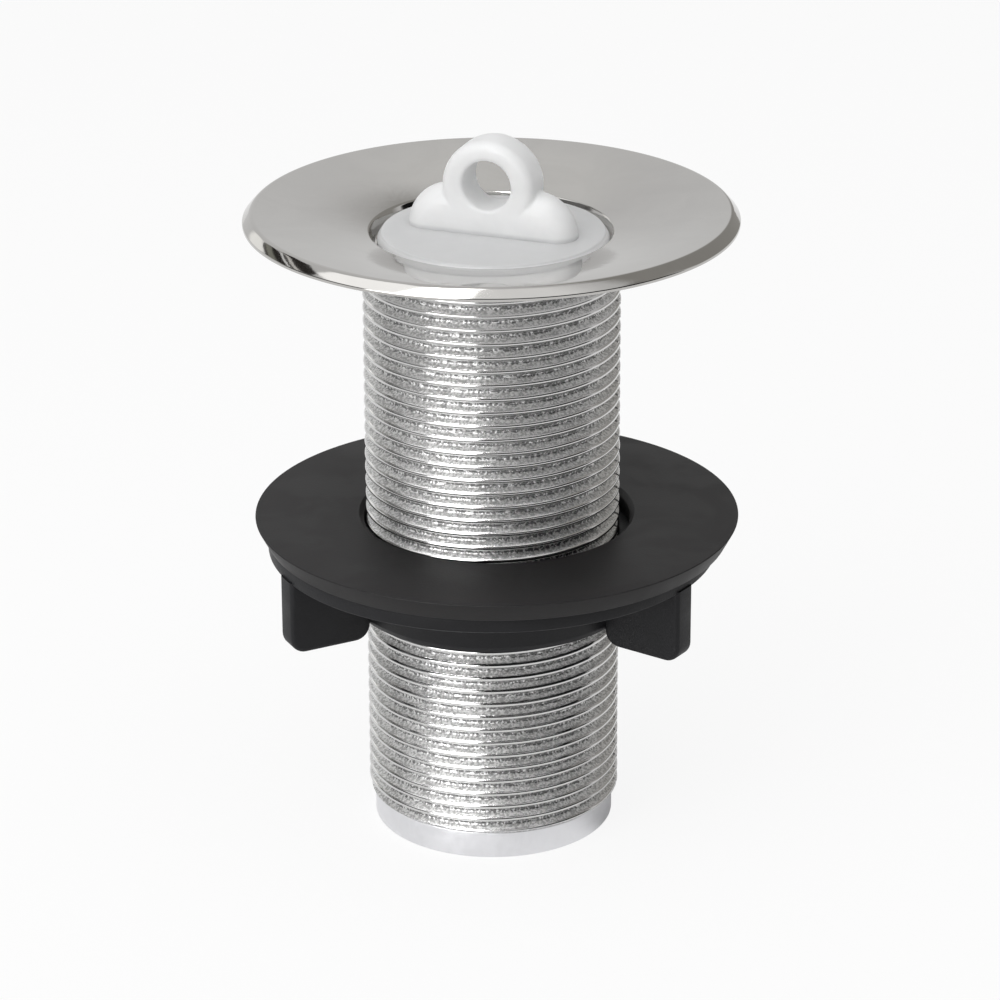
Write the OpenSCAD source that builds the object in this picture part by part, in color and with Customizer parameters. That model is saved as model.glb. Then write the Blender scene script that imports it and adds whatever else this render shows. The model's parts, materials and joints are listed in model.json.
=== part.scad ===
// Basin waste: flanged and threaded body, lift-out plug, clamping washer and winged back nut.
// Millimetres. +Z points up the drain, and the origin is the centre of the tail's bottom end.

/* [Flange] */
// Height from the tail's bottom end to the top of the flange
overall_h = 106.5; // [95:0.5:130]
// Outside diameter of the flange
flange_d = 80; // [74:0.5:95]
// Height of the rim, from its flat underside to its top edge
rim_h = 2; // [1.8:0.1:4]
// Width of the bevel round the rim's top edge
rim_bevel_w = 1.4; // [0.5:0.1:3]
// Height of the bevel round the rim's top edge
rim_bevel_h = 1.5; // [0.4:0.1:1.6]
// Width of the flat ring under the rim that beds on the basin
seal_ring_w = 4; // [2:0.5:8]
// How far the top of the flange falls from its edge to the plug seat
dish_depth = 3.6; // [2:0.1:6]
// Metal thickness where the flange meets the tail
hub_wall = 2.6; // [2:0.1:5]

/* [Plug seat] */
// Depth of the seat's side wall
seat_depth = 2.1; // [1.5:0.1:4]
// How much wider the seat is at its mouth than at its ledge, each side
seat_flare = 0.8; // [0:0.1:1.5]
// Width of the ledge that the plug rests on
ledge_w = 1.7; // [1.2:0.1:3]
// Depth of the bowl under the ledge, down to the bars
bowl_depth = 11; // [9.5:0.5:16]
// How much wider the bowl is than the tail's bore, each side
bowl_step = 0.7; // [0.3:0.1:2]

/* [Cross bars] */
// Width of each bar across the waterway
bar_w = 3; // [2:0.1:5]
// Height of the bars
bar_h = 4; // [2:0.5:6]
// Diameter of the hub where the bars cross
hub_d = 7; // [5:0.5:12]

/* [Threaded tail] */
// Diameter over the thread's crests, G 1 1/4
thread_d = 41.91; // [38:0.01:48]
// Distance from crest to crest, 11 to the inch
pitch = 2.309; // [1.8:0.001:3]
// Depth of the thread from crest to root
thread_depth = 1.479; // [0.8:0.001:1.6]
// Width of each crest's land
crest_w = 0.36; // [0.2:0.01:0.6]
// Width of the flat at each root
root_w = 0.3; // [0.2:0.01:0.5]
// Metal thickness under the thread's roots
tail_wall = 2.976; // [2:0.001:4]
// Step in from the crests to the plain end, each side
end_step = 1; // [0.6:0.05:1.4]
// Height of the plain end below the thread
end_h = 4.6; // [3:0.1:8]
// Bevel round the bottom edge of the plain end
end_bevel = 0.4; // [0.2:0.1:0.8]

/* [Plug] */
// Gap round the plug's rim at the seat's mouth
rim_gap = 1; // [0.7:0.1:1.5]
// Thickness of the plug's disc
disc_t = 2; // [1.5:0.1:3]
// Gap between the bowl and the widest part of the plug's skirt
skirt_gap = 0.9; // [0.7:0.1:1.5]
// How much the skirt narrows from top to bottom, each side
skirt_taper = 0.8; // [0.3:0.1:1.5]
// Height of the skirt below the disc
skirt_h = 7.5; // [4:0.5:8]
// Wall thickness of the skirt
skirt_wall = 2; // [1.5:0.1:3]
// How far the loose plug sits to one side in its seat
plug_shift = 0.3; // [0:0.1:0.5]

/* [Plug handle] */
// Thickness of the handle from face to face
handle_t = 7; // [5:0.1:8]
// Length of the handle along the disc
handle_len = 28.6; // [24:0.1:30]
// Radius of the round shoulders at the handle's ends
shoulder_r = 7.2; // [5:0.1:8]
// Outside diameter of the ring
ring_d = 15.6; // [13:0.1:18]
// Height of the ring's centre above the disc
ring_rise = 7.7; // [6.5:0.1:9]
// Diameter of the eye through the ring
eye_d = 8.2; // [6:0.1:9]
// Height of the eye's centre above the disc
eye_rise = 8.3; // [7.5:0.1:9]
// Turn of the handle about the vertical
handle_turn = -20.6; // [-90:0.1:90]

/* [Washer] */
// Distance from the rim's underside to the top of the washer
clamp_gap = 50.3; // [35:0.1:60]
// How far the washer's top face reaches past the flange, each side
washer_over = -0.15; // [-4:0.05:4]
// Thickness of the washer
washer_t = 3.3; // [2:0.1:5]
// How much the washer's edge slopes in from top to bottom
washer_slope = 1.7; // [0:0.1:3]
// Gap between the washer's hole and the thread's crests
washer_gap = 1; // [0.9:0.05:2]
// Bevel round the top of the washer's hole
hole_bevel = 0.8; // [0.2:0.1:1]
// How far the loose washer sits to one side on the tail
washer_shift = 0.7; // [0:0.05:0.7]

/* [Back nut] */
// Diameter of the nut's flange
nut_flange_d = 74.2; // [66:0.1:90]
// Thickness of the nut's flange
nut_flange_t = 2.6; // [1.5:0.1:4]
// Running gap between the nut's bore and the thread's crests
nut_gap = 0.06; // [0.02:0.01:0.1]
// Height of the nut's collar, below the flange
collar_h = 9.5; // [6:0.1:14]
// Wall thickness of the collar at its bottom edge
collar_wall = 2.6; // [1.5:0.1:4]
// How much the collar's wall thickens from bottom to top
collar_draft = 1.2; // [0:0.1:2]
// Number of wings
wing_count = 3; // [2:1:4]
// How far the wings reach out from the collar's bottom edge
wing_reach = 13.8; // [8:0.1:15]
// Thickness of each wing
wing_t = 4.5; // [3:0.1:6]
// Height of each wing at its outer edge, below the flange
wing_h = 12.1; // [10:0.1:18]
// How much the wing's bottom edge rises from its outer to its inner end
wing_rise = 0.2; // [0:0.1:3]
// Radius of the wing's bottom corners
wing_corner_r = 2.6; // [1:0.1:3]
// Turn of the wings about the vertical
wing_turn = -3.8; // [-60:0.1:60]

/* [Hidden] */
$fn = 96;

// A little overlap where solids of one piece are joined
bite = 0.3;
thread_r = thread_d / 2;
root_r = thread_r - thread_depth;
bore_r = root_r - tail_wall;
end_r = thread_r - end_step;
flange_r = flange_d / 2;

// Heights of the flange and of what is inside it
rim_z = overall_h - rim_h;
dish_z = overall_h - dish_depth;
ledge_z = dish_z - seat_depth;
bars_top_z = ledge_z - bowl_depth;
bars_z = bars_top_z - bar_h;
hub_z = dish_z - hub_wall;

// The seat and the bowl, from the bore outwards
bowl_r = bore_r + bowl_step;
ledge_r = bowl_r + ledge_w;
mouth_r = ledge_r + seat_flare;
hub_r = thread_r + bite;
dish_r = flange_r - rim_bevel_w;
seal_r = flange_r - seal_ring_w;

// The ridges stand one above the other from the plain end up to the hub
flank_w = (pitch - crest_w - root_w) / 2;
ridge_count = floor((hub_z - end_h) / pitch);

// The plug
plug_r = mouth_r - rim_gap;
disc_z = ledge_z + disc_t;
skirt_r = bowl_r - skirt_gap;
skirt_foot_r = skirt_r - skirt_taper;
handle_end_x = handle_len / 2 - shoulder_r;

// The washer and the nut
washer_top_z = rim_z - clamp_gap;
washer_z = washer_top_z - washer_t;
washer_r = flange_r + washer_over;
hole_r = thread_r + washer_gap;
nut_bore_r = thread_r + nut_gap;
nut_flange_z = washer_z - nut_flange_t;
collar_z = nut_flange_z - collar_h;
collar_r = nut_bore_r + collar_wall;
collar_top_r = collar_r + collar_draft;
wing_in_r = collar_r - bite;
wing_out_r = collar_r + wing_reach;
wing_slope = atan(wing_rise / (wing_out_r - wing_in_r));

// Outline of one ridge, from the root below it to the root above it
function ridge(foot_z) = [
    [root_r, foot_z + root_w / 2],
    [thread_r, foot_z + root_w / 2 + flank_w],
    [thread_r, foot_z + root_w / 2 + flank_w + crest_w],
    [root_r, foot_z + pitch - root_w / 2]
];

// All the ridges, from the lowest to the highest
function ridges() = [
    for (k = [0 : ridge_count - 1])
        for (p = ridge(end_h + k * pitch)) p
];

// Half section of the flange, the seat, the bowl and the tail
module body_section() {
    polygon(concat(
        [
            [bore_r, 0],
            [end_r - end_bevel, 0],
            [end_r, end_bevel],
            [end_r, end_h],
            [root_r, end_h]
        ],
        ridges(),
        [
            [root_r, hub_z],
            [hub_r, hub_z],
            [seal_r, rim_z],
            [flange_r, rim_z],
            [flange_r, overall_h - rim_bevel_h],
            [dish_r, overall_h],
            [mouth_r, dish_z],
            [ledge_r, ledge_z],
            [bowl_r, ledge_z],
            [bowl_r, bars_z],
            [bore_r, bars_z]
        ]
    ));
}

// Two bars and a hub that keep things from falling down the tail
module cross_bars() {
    translate([0, 0, bars_z + bar_h / 2])
        for (turn = [0, 90])
            rotate([0, 0, turn])
                cube([2 * (bowl_r + bite), bar_w, bar_h], center = true);
    translate([0, 0, bars_z])
        cylinder(d = hub_d, h = bar_h);
}

module waste_body() {
    color("silver")
        union() {
            rotate_extrude() body_section();
            cross_bars();
        }
}

// Round-edged disc and tapered skirt, turned about the plug's axis
module plug_section() {
    translate([0, ledge_z])
        square([plug_r - disc_t / 2, disc_t]);
    translate([plug_r - disc_t / 2, ledge_z + disc_t / 2])
        intersection() {
            circle(d = disc_t);
            translate([0, -disc_t])
                square(2 * disc_t);
        }
    polygon([
        [skirt_r - skirt_wall, ledge_z + bite],
        [skirt_r, ledge_z + bite],
        [skirt_r, ledge_z],
        [skirt_foot_r, ledge_z - skirt_h],
        [skirt_foot_r - skirt_wall, ledge_z - skirt_h]
    ]);
}

// Face of the handle: two round shoulders, the web between them, and the ring
module handle_face() {
    difference() {
        union() {
            intersection() {
                union() {
                    for (side = [-1, 1])
                        translate([side * handle_end_x, 0])
                            circle(r = shoulder_r);
                    translate([-handle_end_x, 0])
                        square([2 * handle_end_x, shoulder_r]);
                }
                translate([-handle_len, -bite])
                    square([2 * handle_len, handle_len]);
            }
            translate([0, ring_rise])
                circle(d = ring_d);
        }
        translate([0, eye_rise])
            circle(d = eye_d);
    }
}

// Plan of the handle, with a half-round end at each side
module handle_plan() {
    end_x = (handle_len - handle_t) / 2;
    square([2 * end_x, handle_t], center = true);
    for (side = [-1, 1])
        translate([side * end_x, 0])
            circle(d = handle_t);
}

module handle() {
    rise = ring_rise + ring_d;
    intersection() {
        translate([0, handle_t / 2 + bite, 0])
            rotate([90, 0, 0])
                linear_extrude(handle_t + 2 * bite) handle_face();
        translate([0, 0, -bite])
            linear_extrude(rise) handle_plan();
    }
}

module plug() {
    color("whitesmoke")
        translate([plug_shift, 0, 0])
            union() {
                rotate_extrude() plug_section();
                translate([0, 0, disc_z])
                    rotate([0, 0, handle_turn]) handle();
            }
}

module backing_washer() {
    color([0.13, 0.13, 0.13])
        translate([washer_shift, 0, washer_z])
            rotate_extrude()
                polygon([
                    [hole_r, 0],
                    [washer_r - washer_slope, 0],
                    [washer_r, washer_t],
                    [hole_r + hole_bevel, washer_t],
                    [hole_r, washer_t - hole_bevel]
                ]);
}

// Half section of the nut's flange and collar, with the bore through them
module nut_section() {
    polygon([
        [nut_bore_r, collar_z],
        [collar_r, collar_z],
        [collar_top_r, nut_flange_z],
        [nut_flange_d / 2, nut_flange_z],
        [nut_flange_d / 2, washer_z],
        [nut_bore_r, washer_z]
    ]);
}

// Face of one wing, with x the distance from the axis
module wing_face() {
    foot_z = nut_flange_z - wing_h;
    inner_foot_z = foot_z + wing_rise;
    r = wing_corner_r;
    outer_c = [wing_out_r - r, foot_z + r / cos(wing_slope) + r * tan(wing_slope)];
    inner_c = [wing_in_r + r, inner_foot_z + r / cos(wing_slope) - r * tan(wing_slope)];
    down = [-sin(wing_slope), -cos(wing_slope)] * r;
    polygon([
        [wing_in_r, nut_flange_z + bite],
        [wing_in_r, inner_c[1]],
        inner_c + down,
        outer_c + down,
        [wing_out_r, outer_c[1]],
        [wing_out_r, nut_flange_z + bite]
    ]);
    for (c = [outer_c, inner_c])
        translate(c) circle(r = r);
}

module winged_back_nut() {
    color([0.18, 0.18, 0.19])
        union() {
            rotate_extrude() nut_section();
            for (k = [0 : wing_count - 1])
                rotate([0, 0, -90 + wing_turn + (k + 0.5) * 360 / wing_count])
                    translate([0, wing_t / 2, 0])
                        rotate([90, 0, 0])
                            linear_extrude(wing_t) wing_face();
        }
}

waste_body();
plug();
backing_washer();
winged_back_nut();
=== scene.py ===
"""Basin waste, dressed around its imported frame.

Chromed body, lift-out plug, rubber washer and winged back nut.
"""

import json
import math

import bmesh
import bpy
from mathutils import Matrix, Vector


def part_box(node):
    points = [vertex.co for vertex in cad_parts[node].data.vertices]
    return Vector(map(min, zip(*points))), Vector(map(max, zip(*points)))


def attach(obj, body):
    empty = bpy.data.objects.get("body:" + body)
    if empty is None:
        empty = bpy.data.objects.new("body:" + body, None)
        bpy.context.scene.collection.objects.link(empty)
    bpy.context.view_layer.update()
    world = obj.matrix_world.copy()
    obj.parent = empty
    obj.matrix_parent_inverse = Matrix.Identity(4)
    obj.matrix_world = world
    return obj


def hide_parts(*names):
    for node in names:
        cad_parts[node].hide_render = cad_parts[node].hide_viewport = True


bl_info = {
    "name": "Basin waste",
    "version": (1, 0, 0),
    "blender": (4, 5, 0),
    "location": "3D View > Sidebar > Basin waste",
    "description": "Models the pieces of a basin waste and its studio stage",
    "category": "Object",
}

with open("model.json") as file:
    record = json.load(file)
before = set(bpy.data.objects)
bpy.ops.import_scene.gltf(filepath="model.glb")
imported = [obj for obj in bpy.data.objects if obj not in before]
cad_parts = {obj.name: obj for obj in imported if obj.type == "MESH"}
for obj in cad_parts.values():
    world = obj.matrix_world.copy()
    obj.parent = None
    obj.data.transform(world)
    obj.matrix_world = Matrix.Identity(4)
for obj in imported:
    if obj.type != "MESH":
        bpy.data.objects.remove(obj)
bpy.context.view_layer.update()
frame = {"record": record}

MM = 0.001
MOUNTS = {m["name"]: m for m in frame["record"]["mounts"]}
# Points nearer than this are one point
WEED = 0.002 * MM
# Overlap where the solids of one piece are joined
BITE = 0.3 * MM
# How far a wing's head reaches into the nut's flange
WING_BITE = 0.5 * MM
# Room between a cutting tool and what it must not touch
CLEAR = 0.05 * MM
# Metal that the threaded sleeve has under its roots, and how far it reaches into the flange's hub
SLEEVE_WALL = 1.2 * MM
SLEEVE_BITE = 0.4 * MM
# How far the handle's foot reaches into the disc
HANDLE_ROOT = 0.6 * MM
FLANK_DEG = 27.5
# Common roundings of corners
CRISP, SOFT, ROUNDED = 0.15 * MM, 0.3 * MM, 0.5 * MM
# How many sides a round piece is turned with
LARGE_ROUND, MIDDLE_ROUND, SMALL_ROUND, HUB_ROUND = 192, 144, 96, 48
BODY_LOW, BODY_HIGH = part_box("waste_body")
PLUG_LOW, PLUG_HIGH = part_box("plug")
WASHER_LOW, WASHER_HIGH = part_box("backing_washer")
NUT_LOW, NUT_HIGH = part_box("winged_back_nut")


def length(name, description, default_mm):
    """A size property, given in millimetres and kept in metres."""
    return bpy.props.FloatProperty(
        name=name, description=description, default=default_mm * MM, unit="LENGTH", precision=5
    )


def angle(name, description, default_deg):
    """An angle property, given in degrees and kept in radians."""
    return bpy.props.FloatProperty(
        name=name, description=description, default=math.radians(default_deg), subtype="ANGLE"
    )


def tint(name, description, default):
    """A colour property."""
    return bpy.props.FloatVectorProperty(
        name=name, description=description, default=default, size=4, subtype="COLOR", min=0, max=1
    )


class BodySizes(bpy.types.PropertyGroup):
    """Sizes of the chromed body."""

    rim_h: length("Rim height", "From the rim's flat underside to its top edge", 2)
    rim_bevel_w: length("Rim bevel width", "Width of the bevel round the rim's top edge", 1.4)
    rim_bevel_h: length("Rim bevel height", "Height of the bevel round the rim's top edge", 1.5)
    rim_round: length("Rim rounding", "Rounding of the bevel's inner edge", 0.9)
    bed_round: length("Bed rounding", "Rounding between the flange's underside and its bedding ring", 1.0)
    seal_ring_w: length("Bedding ring", "Width of the flat ring under the rim", 4)
    dish_depth: length("Dish depth", "Fall of the flange's top from its edge to the plug seat", 3.6)
    hub_wall: length("Hub wall", "Metal thickness where the flange meets the tail", 2.6)
    seat_depth: length("Seat depth", "Depth of the seat's side wall", 2.1)
    seat_flare: length("Seat flare", "How much wider the seat is at its mouth, each side", 0.8)
    ledge_w: length("Ledge width", "Width of the ledge that the plug rests on", 1.7)
    bowl_step: length("Bowl step", "How much wider the bowl is than the bore, each side", 0.7)
    bar_w: length("Bar width", "Width of each bar across the waterway", 3)
    bar_h: length("Bar height", "Height of the bars", 4)
    bar_hub_d: length("Bar hub", "Diameter of the hub where the bars cross", 7)
    bar_round: length("Bar rounding", "Rounding of the edges of the bars", 0.8)
    pitch: length("Thread pitch", "Distance from crest to crest", 2.309)
    thread_depth: length("Thread depth", "From the crests to the full roots of the cast thread", 1.24)
    crest_round: length("Crest rounding", "Radius of the thread's crests", 0.42)
    root_round: length("Root rounding", "Radius of the thread's roots", 0.42)
    parting_w: length("Parting line", "Width of the slit across the ridges at the mould's parting line", 0.65)
    parting_turn: angle("Parting line turn", "Turn of the parting line", -8)
    run_in: length("Run-in", "Height of the cone at the start of the thread", 0.9)
    end_bevel: length("End bevel", "Bevel round the bottom edge of the plain end", 0.4)


class PlugSizes(bpy.types.PropertyGroup):
    """Sizes of the plug."""

    disc_t: length("Disc thickness", "Thickness of the plug's disc", 2)
    lip_w: length("Lip width", "Width of the soft edge round the disc", 0.7)
    lip_h: length("Lip height", "Height of the soft edge round the disc", 1.1)
    skirt_r: length("Skirt radius", "Outside radius of the skirt under the disc", 16.3)
    skirt_taper: length("Skirt taper", "How much the skirt narrows downwards, each side", 0.8)
    skirt_h: length("Skirt height", "Height of the skirt below the disc", 7.5)
    skirt_wall: length("Skirt wall", "Wall thickness of the skirt", 2)
    handle_t: length("Handle thickness", "From face to face", 7)
    handle_len: length("Handle length", "Length along the disc", 28.6)
    shoulder_r: length("Shoulder radius", "Radius of the round shoulders", 7.2)
    ring_d: length("Ring diameter", "Outside diameter of the ring", 15.6)
    ring_rise: length("Ring rise", "Height of the ring's centre above the disc", 7.7)
    ring_round: length("Ring rounding", "Rounding of the ring's edges", 1.5)
    eye_rise: length("Eye rise", "Height of the eye's centre above the disc", 8.3)
    eye_round: length("Eye rounding", "Rounding of the eye's edges", 0.5)
    handle_turn: angle("Handle turn", "Turn of the handle", -20.6)


class WasherSizes(bpy.types.PropertyGroup):
    """Sizes of the washer."""

    slope: length("Edge slope", "How much the edge slopes in from top to bottom", 1.7)
    gap: length("Hole gap", "Gap between the hole and the thread's crests", 1)
    hole_bevel: length("Hole bevel", "Bevel round the top of the hole", 0.8)
    edge_bevel: length("Edge bevel", "Bevel round the top of the edge", 0.12)


class NutSizes(bpy.types.PropertyGroup):
    """Sizes of the winged back nut."""

    flange_t: length("Flange thickness", "Thickness of the nut's flange", 2.6)
    gap: length("Running gap", "Gap between the bore and the thread's crests", 0.06)
    bore_bevel: length("Bore bevel", "Bevel round the bottom of the bore", 0.4)
    collar_h: length("Collar height", "Height of the collar below the flange", 9.5)
    collar_wall: length("Collar wall", "Wall thickness at the collar's bottom edge", 2.6)
    collar_bevel_w: length("Collar bevel width", "Width of the bevel round the collar's bottom edge", 0.4)
    collar_bevel_h: length("Collar bevel height", "Height of the bevel round the collar's bottom edge", 0.9)
    collar_draft: length("Collar draft", "How much the wall thickens towards the flange", 1.2)
    wing_reach: length("Wing reach", "How far the wings reach out from the collar", 13.8)
    wing_t: length("Wing thickness", "Thickness of each wing", 4.5)
    wing_h: length("Wing height", "Height of a wing at its outer edge", 12.1)
    wing_rise: length("Wing rise", "How much a wing's bottom edge rises towards the axis", 0.2)
    wing_corner_r: length("Wing corner", "Radius of the bottom corners", 2.6)
    wing_edge_r: length("Wing edge", "Rounding of the other edges", 0.7)
    wing_count: bpy.props.IntProperty(name="Wings", description="Number of wings", default=3, min=2, max=4)
    wing_turn: angle("Wing turn", "Turn of the wings", -3.8)


class Finishes(bpy.types.PropertyGroup):
    """Colours and finishes."""

    chrome: tint("Chrome", "Colour of the polished chrome", (0.50, 0.49, 0.475, 1))
    cast_chrome: tint("Cast chrome", "Colour of the chrome over the cast thread", (0.62, 0.617, 0.613, 1))
    cast_flank: tint("Cast flanks", "Colour of the rough flanks of the thread", (0.81, 0.807, 0.803, 1))
    bare_end: tint("Plain end", "Colour of the tail's plain end", (0.77, 0.77, 0.79, 1))
    plug: tint("Plug", "Colour of the plug", (0.93, 0.935, 0.94, 1))
    rubber: tint("Rubber", "Colour of the washer", (0.017, 0.0162, 0.0166, 1))
    moulding: tint("Moulding", "Colour of the back nut", (0.011, 0.011, 0.0122, 1))
    floor: tint("Floor", "Colour of the floor", (0.86, 0.86, 0.86, 1))


# Modelling helpers


def only(obj):
    """Leaves obj selected and active, and nothing else selected."""
    if bpy.context.mode != "OBJECT":
        bpy.ops.object.mode_set(mode="OBJECT")
    bpy.ops.object.select_all(action="DESELECT")
    obj.select_set(True)
    bpy.context.view_layer.objects.active = obj


def fresh(name):
    """Names the object that an operator has just added."""
    obj = bpy.context.object
    obj.name = name
    obj.data.name = name
    return obj


def pick(obj, kind, wanted):
    """In edit mode, selects the vertices, edges or faces for which wanted() is true."""
    bpy.ops.mesh.select_mode(type=kind)
    bpy.ops.mesh.select_all(action="DESELECT")
    mesh = bmesh.from_edit_mesh(obj.data)
    items = {"VERT": mesh.verts, "EDGE": mesh.edges, "FACE": mesh.faces}[kind]
    for item in items:
        if wanted(item):
            item.select_set(True)
    mesh.select_flush_mode()
    bmesh.update_edit_mesh(obj.data)


def settle(obj, sharp_deg=30):
    """Puts a finished piece's place into its mesh, and shades it."""
    placed(obj)
    bpy.ops.object.shade_smooth_by_angle(angle=math.radians(sharp_deg))


def applied(obj, kind, **values):
    """Adds a modifier with these values and applies it."""
    only(obj)
    modifier = obj.modifiers.new(kind.lower(), kind)
    for key, value in values.items():
        setattr(modifier, key, value)
    bpy.ops.object.modifier_apply(modifier=modifier.name)


def combined(obj, other, operation):
    """Unites obj with other, cuts it by other, or keeps what both share. The other one is used up."""
    applied(obj, "BOOLEAN", operation=operation, solver="MANIFOLD", object=other)
    bpy.data.objects.remove(other)
    return obj


def arc(x, z, r, start_deg, end_deg, steps=5):
    """Points along an arc in an outline."""
    angles = [math.radians(start_deg + (end_deg - start_deg) * k / steps) for k in range(steps + 1)]
    return [(x + r * math.cos(a), z + r * math.sin(a)) for a in angles]


def softened(outline, steps=4):
    """An outline of (x, z) or (x, z, r) points, with each corner that has an r rounded to that radius."""
    points = []
    for k, corner in enumerate(outline):
        here = Vector(corner[:2])
        if len(corner) == 2:
            points.append(tuple(here))
            continue
        before = (Vector(outline[k - 1][:2]) - here).normalized()
        after = (Vector(outline[(k + 1) % len(outline)][:2]) - here).normalized()
        half = before.angle(after) / 2
        run = corner[2] / math.tan(half)
        centre = here + (before + after).normalized() * corner[2] / math.sin(half)
        first, last = here + before * run - centre, here + after * run - centre
        swing = first.angle_signed(last)
        for n in range(steps + 1):
            cos, sin = math.cos(-swing * n / steps), math.sin(-swing * n / steps)
            spoke = Vector((first.x * cos - first.y * sin, first.x * sin + first.y * cos))
            points.append(tuple(centre + spoke))
    return points


def drawn(name, outline, closed):
    """Draws an outline in the XZ plane, point by point, from one vertex. Stays in edit mode."""
    bpy.ops.object.select_all(action="DESELECT")
    bpy.ops.mesh.primitive_plane_add(size=MM)
    obj = fresh(name)
    bpy.ops.object.mode_set(mode="EDIT")
    bpy.ops.mesh.select_mode(type="VERT")
    bpy.ops.mesh.select_all(action="SELECT")
    bpy.ops.mesh.merge(type="CENTER")
    bpy.ops.transform.translate(value=(outline[0][0], 0, outline[0][1]))
    for (x0, z0), (x1, z1) in zip(outline, outline[1:]):
        bpy.ops.mesh.extrude_region_move(TRANSFORM_OT_translate={"value": (x1 - x0, 0, z1 - z0)})
    if closed:
        ends = [Vector((outline[0][0], 0, outline[0][1])), Vector((outline[-1][0], 0, outline[-1][1]))]
        pick(obj, "VERT", lambda v: min((v.co - e).length for e in ends) < WEED / 10)
        bpy.ops.mesh.edge_face_add()
    bpy.ops.mesh.select_all(action="SELECT")
    return obj


def turned(name, outline, steps=MIDDLE_ROUND, closed=True):
    """A turned piece: its outline is drawn and spun all the way round the Z axis."""
    obj = drawn(name, outline, closed)
    bpy.ops.mesh.spin(steps=steps, angle=math.tau, center=(0, 0, 0), axis=(0, 0, 1))
    bpy.ops.mesh.select_all(action="SELECT")
    bpy.ops.mesh.remove_doubles(threshold=WEED / 4)
    bpy.ops.mesh.normals_make_consistent(inside=False)
    bpy.ops.object.mode_set(mode="OBJECT")
    return obj


def placed(obj):
    """Puts the object's place, turn and scale into its mesh."""
    only(obj)
    bpy.ops.object.transform_apply(location=True, rotation=True, scale=True)
    return obj


def block(name, size, centre):
    """A box of this size, made at its place."""
    bpy.ops.object.select_all(action="DESELECT")
    bpy.ops.mesh.primitive_cube_add(size=1, location=centre)
    obj = fresh(name)
    obj.scale = size
    return placed(obj)


def swung(obj, turn):
    """Turns a piece about the Z axis."""
    obj.rotation_euler = (0, 0, turn)
    return placed(obj)


def tipped(obj):
    """Tips a turned piece over, so that its axis lies along Y."""
    only(obj)
    bpy.ops.object.mode_set(mode="EDIT")
    bpy.ops.mesh.select_all(action="SELECT")
    bpy.ops.transform.rotate(value=math.pi / 2, orient_axis="X", center_override=(0, 0, 0))
    bpy.ops.object.mode_set(mode="OBJECT")
    return obj


def shifted(obj, offset):
    """Moves a piece by an offset."""
    only(obj)
    bpy.ops.transform.translate(value=offset)
    return placed(obj)


def painted(obj, materials, chooser=None):
    """Gives obj its materials. chooser(radius, height, normal) says which one each face takes."""
    obj.data.materials.clear()
    for material in materials:
        obj.data.materials.append(material)
    for face in obj.data.polygons:
        c = face.center
        face.material_index = chooser(math.hypot(c.x, c.y), c.z, face.normal) if chooser else 0


# Shader node groups and materials


class Sheet:
    """Places and links shader nodes in a material or a group."""

    def __init__(self, tree):
        self.tree = tree

    def feed(self, target, value):
        """Links a socket to an input, or sets the input to a value."""
        if isinstance(value, bpy.types.NodeSocket):
            self.tree.links.new(value, target)
        else:
            target.default_value = value

    def add(self, kind, values=None, **settings):
        """A node with these settings, and with these values or links on its inputs."""
        node = self.tree.nodes.new(kind)
        for key, value in settings.items():
            setattr(node, key, value)
        for key, value in (values or {}).items():
            self.feed(node.inputs[key], value)
        return node

    def calc(self, operation, a, b=0.0):
        """A math node's output."""
        return self.add("ShaderNodeMath", {0: a, 1: b}, operation=operation).outputs[0]

    def plus(self, a, b):
        """The sum of two values."""
        return self.calc("ADD", a, b)

    def times(self, a, b):
        """The product of two values."""
        return self.calc("MULTIPLY", a, b)

    def ramp(self, value, low, high, to_low=0.0, to_high=1.0):
        """A smooth step of value between low and high."""
        return self.add(
            "ShaderNodeMapRange",
            {"Value": value, "From Min": low, "From Max": high, "To Min": to_low, "To Max": to_high},
            interpolation_type="SMOOTHSTEP",
        ).outputs["Result"]

    def blend(self, factor, a, b):
        """A mix of two colours."""
        return self.add("ShaderNodeMix", {0: factor, 6: a, 7: b}, data_type="RGBA").outputs[2]

    def bump(self, height, distance, strength=1.0):
        """Normals bent by a height."""
        values = {"Height": height, "Distance": distance, "Strength": strength}
        return self.add("ShaderNodeBump", values).outputs[0]

    def millimetres(self):
        """Object coordinates in millimetres."""
        place = self.add("ShaderNodeTexCoord").outputs["Object"]
        return self.add("ShaderNodeVectorMath", {0: place, "Scale": 1 / MM}, operation="SCALE").outputs[0]

    def split(self, vector):
        """The x, y and z of a vector."""
        return self.add("ShaderNodeSeparateXYZ", {0: vector}).outputs

    def reach(self, x, y):
        """The distance from the Z axis."""
        return self.calc("SQRT", self.plus(self.times(x, x), self.times(y, y)))

    def bearing(self, x, y):
        """The bearing of a direction in degrees: 0 on the camera's side, growing to the right."""
        return self.times(self.calc("ARCTAN2", x, self.times(y, -1.0)), 180 / math.pi)


def new_group(name, inputs, output):
    """A node group with inputs {name: (default, low, high)}, as (tree, sheet, its inputs, its output)."""
    tree = bpy.data.node_groups.new(name, "ShaderNodeTree")
    for key, (default, low, high) in inputs.items():
        made = tree.interface.new_socket(name=key, in_out="INPUT", socket_type="NodeSocketFloat")
        made.default_value = default
        made.min_value, made.max_value = low, high
    tree.interface.new_socket(name=output, in_out="OUTPUT", socket_type="NodeSocketFloat")
    sheet = Sheet(tree)
    given = sheet.add("NodeGroupInput").outputs
    return tree, sheet, given, sheet.add("NodeGroupOutput").inputs[output]


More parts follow.
